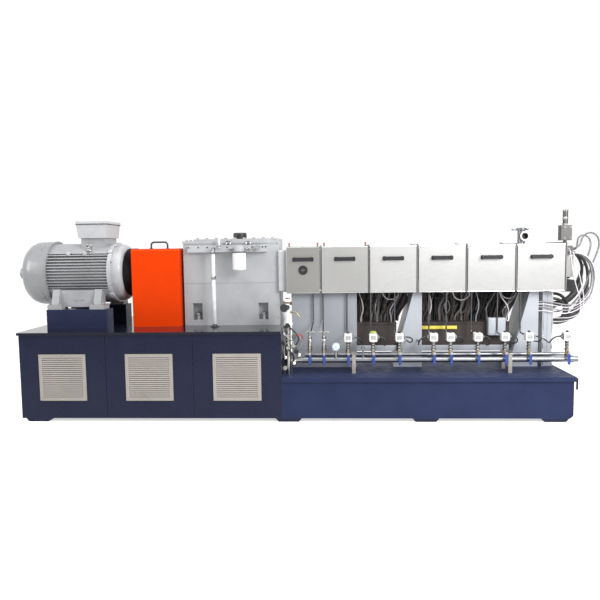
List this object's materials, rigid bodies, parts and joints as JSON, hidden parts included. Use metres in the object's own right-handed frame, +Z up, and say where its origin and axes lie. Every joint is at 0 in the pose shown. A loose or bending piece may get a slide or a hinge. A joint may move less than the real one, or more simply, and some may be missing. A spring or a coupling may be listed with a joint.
{
  "type": "plastic extruder",
  "caption": "Twin-screw plastic extruder on a welded base, with motor, guarded coupling, gearbox, hinged barrel covers and a cooling-water line.",
  "frame": {"origin": "on the floor, under the middle of the base", "axes": "+X from the motor to the die, +Y from the operator's side to the back, +Z up"},
  "size_m": [4.8509, 1.128, 1.594],
  "materials": {
    "alloy": "satin",
    "black_plastic": "satin",
    "brass": "satin",
    "cable_black": "satin",
    "conduit": "satin",
    "dark_steel": "satin",
    "guard_orange": "semi-gloss",
    "lever_blue": "gloss",
    "machine_grey": "semi-gloss",
    "machined": "machined",
    "navy": "semi-gloss",
    "navy_plate": "gloss",
    "pipe": "polished",
    "steel": "brushed",
    "support_grey": "satin",
    "vent_beige": "satin",
    "white_paint": "gloss"
  },
  "bodies": {
    "machine": {"barrel": "machined", "barrel_adapter": "machine_grey", "barrel_heaters": "alloy", "barrel_pedestals": "support_grey", "base_bed": "navy", "base_cabinet": "navy", "base_skids": "navy", "base_top_plate": "navy_plate", "breather": "black_plastic", "cable_duct": "support_grey", "coolant_tubes": "pipe", "coupling": "machined", "coupling_guard": "guard_orange", "cover_arches": "dark_steel", "cover_backs": "steel", "die_head": "machined", "drain_spout": "cable_black", "end_box": "black_plastic", "feed_support": "support_grey", "gearbox_housing": "machine_grey", "gearbox_lid": "machine_grey", "guard_handle": "black_plastic", "heater_cables": "conduit", "heater_leads": "conduit", "inlet_elbow": "white_paint", "line_brackets": "vent_beige", "lube_block": "machine_grey", "melt_sensor": "alloy", "motor_end_shield": "machine_grey", "motor_fan_cowl": "machine_grey", "motor_frame": "machine_grey", "motor_stand": "navy", "motor_terminal_box": "machine_grey", "oil_drain_pipe": "pipe", "oil_filter": "white_paint", "power_cables": "cable_black", "pressure_gauge": "pipe", "sensor_conduits": "conduit", "shutoff_valves": "brass", "signal_cables": "conduit", "solenoid_valves": "alloy", "valve_conduits": "conduit", "valve_levers": "lever_blue", "vent_panels": "vent_beige", "vent_port": "pipe", "water_inlet": "pipe", "water_pipes": "pipe", "wiring_trough": "support_grey"},
    "cover_1": {"cover_1": "steel", "cover_grip_1": "black_plastic"},
    "cover_2": {"cover_2": "steel", "cover_grip_2": "black_plastic"},
    "cover_3": {"cover_3": "steel", "cover_grip_3": "black_plastic"},
    "cover_4": {"cover_4": "steel", "cover_grip_4": "black_plastic"},
    "cover_5": {"cover_5": "steel", "cover_grip_5": "black_plastic"},
    "cover_6": {"cover_6": "steel", "cover_grip_6": "black_plastic"}
  },
  "joints": [
    {"name": "cover_1_hinge", "type": "hinge", "parent": "machine", "child": "cover_1", "pos_m": [0.08825, 0.2105, 1.3205], "axis": [-1, 0, 0], "range_deg": [0, 80]},
    {"name": "cover_2_hinge", "type": "hinge", "parent": "machine", "child": "cover_2", "pos_m": [0.42205, 0.2105, 1.3205], "axis": [-1, 0, 0], "range_deg": [0, 80]},
    {"name": "cover_3_hinge", "type": "hinge", "parent": "machine", "child": "cover_3", "pos_m": [0.80655, 0.2105, 1.3205], "axis": [-1, 0, 0], "range_deg": [0, 80]},
    {"name": "cover_4_hinge", "type": "hinge", "parent": "machine", "child": "cover_4", "pos_m": [1.19105, 0.2105, 1.3205], "axis": [-1, 0, 0], "range_deg": [0, 80]},
    {"name": "cover_5_hinge", "type": "hinge", "parent": "machine", "child": "cover_5", "pos_m": [1.57555, 0.2105, 1.3205], "axis": [-1, 0, 0], "range_deg": [0, 80]},
    {"name": "cover_6_hinge", "type": "hinge", "parent": "machine", "child": "cover_6", "pos_m": [1.96005, 0.2105, 1.3205], "axis": [-1, 0, 0], "range_deg": [0, 80]}
  ]
}
